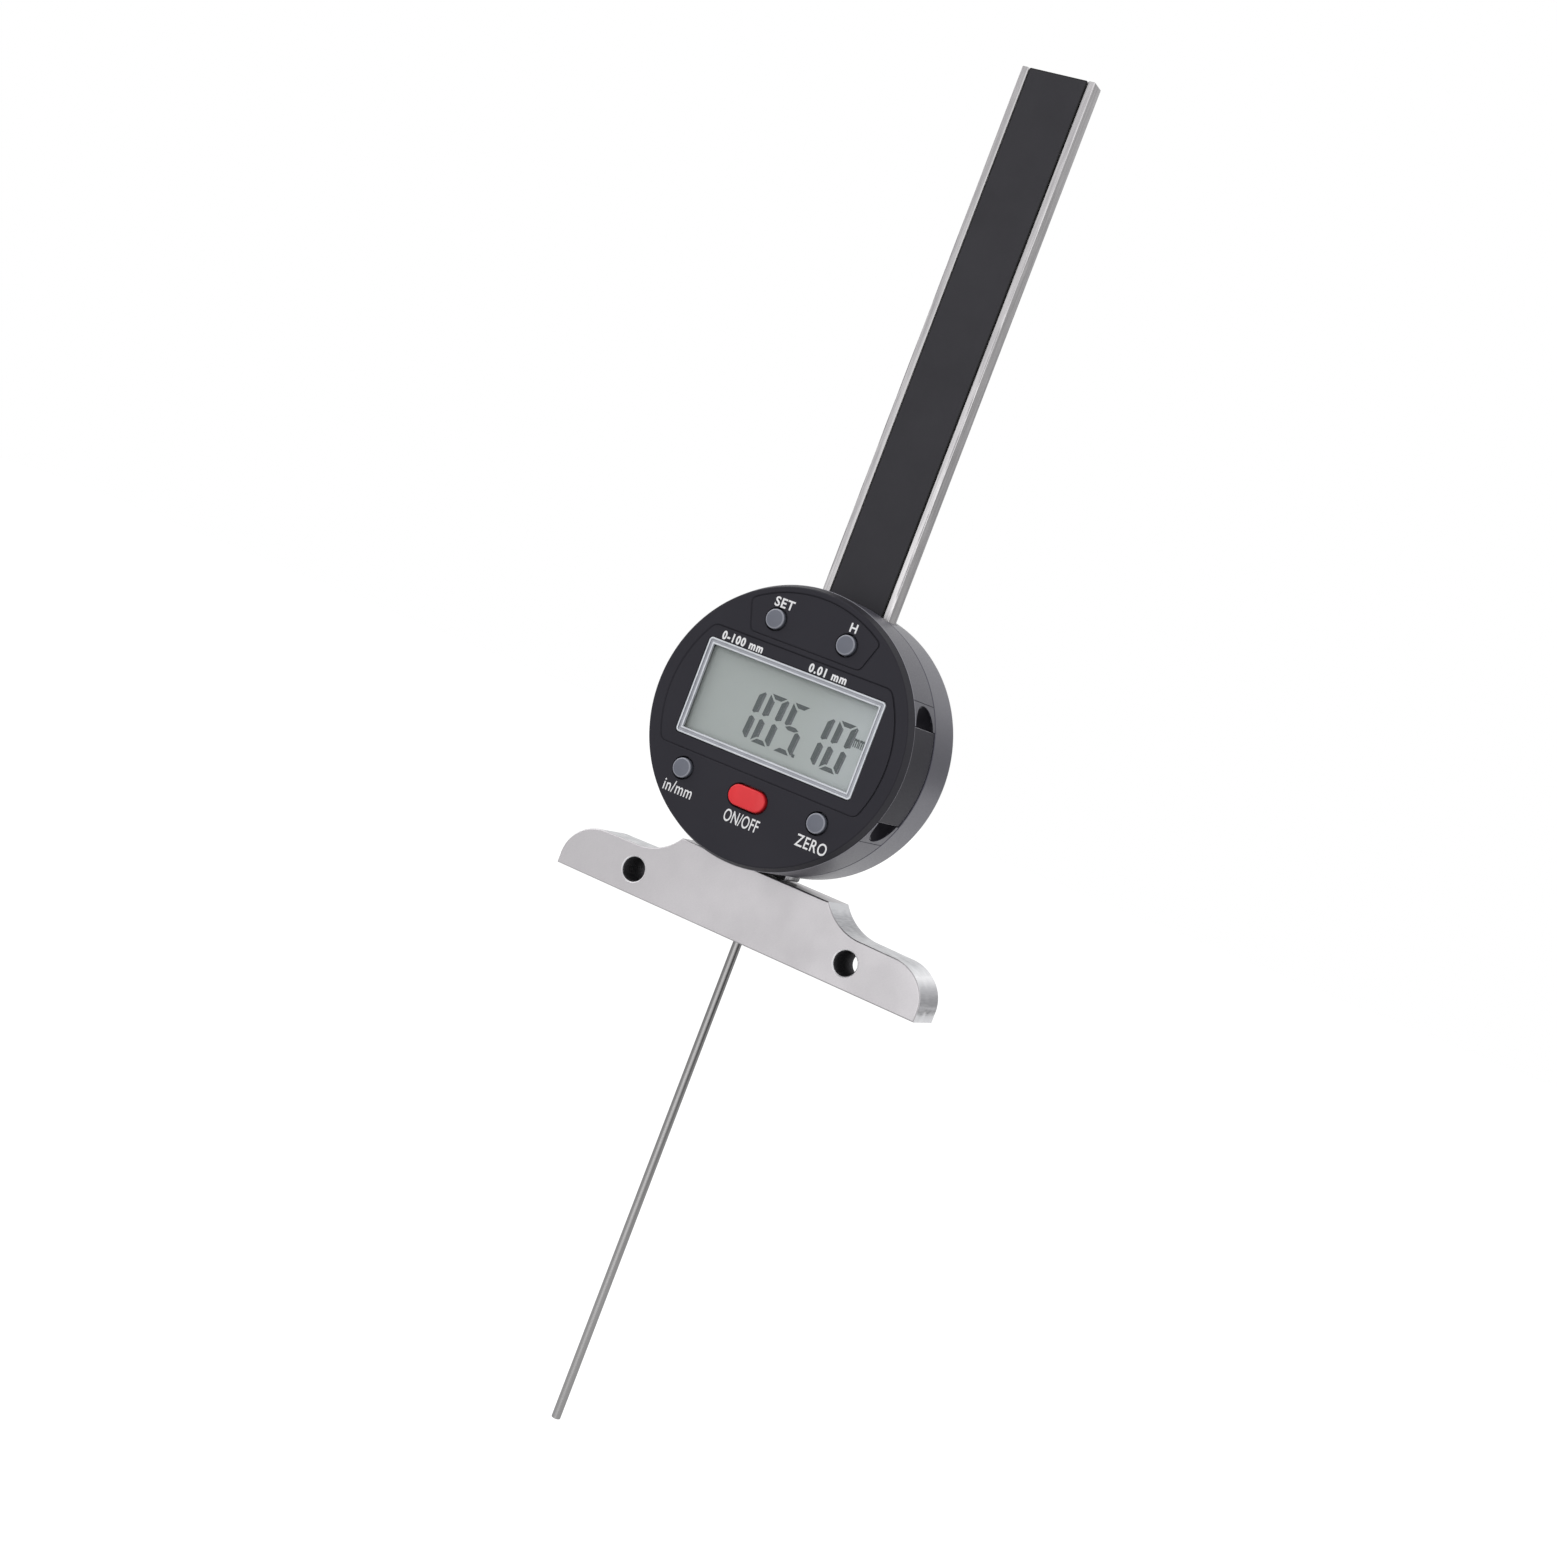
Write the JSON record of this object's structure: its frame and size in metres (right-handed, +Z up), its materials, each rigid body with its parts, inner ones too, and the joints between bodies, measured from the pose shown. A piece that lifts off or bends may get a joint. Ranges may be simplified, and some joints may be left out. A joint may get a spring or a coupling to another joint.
{
  "type": "digital depth gauge",
  "caption": "Digital depth gauge: a winged measuring base, a thin sliding rod, a round head with display, buttons and a battery tray, and a tall guide housing.",
  "frame": {"origin": "on the rod's axis, in the plane of the base's measuring face", "axes": "+Z up along the rod and the guide housing, +X along the base to the side of the battery tray, the display looks along -Y"},
  "size_m": [0.0856, 0.0258, 0.287],
  "materials": {
    "stainless_steel": "satin ground stainless steel",
    "polished_steel": "fine ground steel",
    "bronze": "sintered bronze",
    "screw_steel": "plain steel",
    "spring_steel": "bright strip",
    "black_strip": "satin black",
    "charcoal_shell": "fine matt",
    "grey_shell": "fine matt",
    "silver_frame": "silver, semi-gloss",
    "clear_lens": "clear",
    "display_glass": "grey-green liquid crystal glass",
    "grey_button": "satin",
    "red_button": "satin red",
    "board_green": "solder resist",
    "chip_black": "moulded",
    "rubber_black": "plain",
    "white_nylon": "plain"
  },
  "bodies": {
    "gauge": {"base": "stainless_steel", "base_screw_1": "screw_steel", "base_screw_2": "screw_steel", "lower_bush": "bronze", "neck_block": "stainless_steel", "upper_bush": "bronze", "guide_housing": "stainless_steel", "cover_strip": "black_strip", "scale_board": "board_green", "stop_bumper": "rubber_black", "end_plug": "rubber_black", "end_plug_screw": "screw_steel", "front_cover": "charcoal_shell", "rear_cover": "grey_shell", "cover_screw_1": "screw_steel", "cover_screw_2": "screw_steel", "cover_screw_3": "screw_steel", "cover_screw_4": "screw_steel", "body_screw_1": "screw_steel", "body_screw_2": "screw_steel", "body_screw_3": "screw_steel", "body_screw_4": "screw_steel", "display_frame": "silver_frame", "display_lens": "clear_lens", "display_panel": "display_glass", "contact_strip_1": "rubber_black", "contact_strip_2": "rubber_black", "circuit_board": "board_green", "board_screw_1": "screw_steel", "board_screw_2": "screw_steel", "board_screw_3": "screw_steel", "controller_chip": "chip_black", "link_connector": "chip_black", "button_switch_1": "chip_black", "button_switch_2": "chip_black", "button_switch_3": "chip_black", "button_switch_4": "chip_black", "button_switch_5": "chip_black", "battery_side_contact": "spring_steel", "battery_face_contact": "spring_steel"},
    "rod": {"measuring_rod": "polished_steel", "carriage": "white_nylon", "target_plate": "polished_steel", "rod_set_screw": "screw_steel", "carriage_spring": "spring_steel"},
    "tray": {"battery_tray": "charcoal_shell", "battery_cell": "polished_steel"},
    "set_button_body": {"set_button": "grey_button"},
    "hold_button_body": {"hold_button": "grey_button"},
    "unit_button_body": {"unit_button": "grey_button"},
    "zero_button_body": {"zero_button": "grey_button"},
    "power_button_body": {"power_button": "red_button"}
  },
  "joints": [
    {"name": "rod_slide", "type": "slide", "parent": "gauge", "child": "rod", "axis": [0, 0, 1], "range_m": [0, 0.1051]},
    {"name": "tray_slide", "type": "slide", "parent": "gauge", "child": "tray", "axis": [1, 0, 0], "range_m": [0, 0.018]},
    {"name": "set_button_press", "type": "slide", "parent": "gauge", "child": "set_button_body", "axis": [0, 1, 0], "range_m": [0, 0.0006], "stiffness_N_per_m": 1500},
    {"name": "hold_button_press", "type": "slide", "parent": "gauge", "child": "hold_button_body", "axis": [0, 1, 0], "range_m": [0, 0.0006], "stiffness_N_per_m": 1500},
    {"name": "unit_button_press", "type": "slide", "parent": "gauge", "child": "unit_button_body", "axis": [0, 1, 0], "range_m": [0, 0.0006], "stiffness_N_per_m": 1500},
    {"name": "zero_button_press", "type": "slide", "parent": "gauge", "child": "zero_button_body", "axis": [0, 1, 0], "range_m": [0, 0.0006], "stiffness_N_per_m": 1500},
    {"name": "power_button_press", "type": "slide", "parent": "gauge", "child": "power_button_body", "axis": [0, 1, 0], "range_m": [0, 0.0006], "stiffness_N_per_m": 1500}
  ]
}
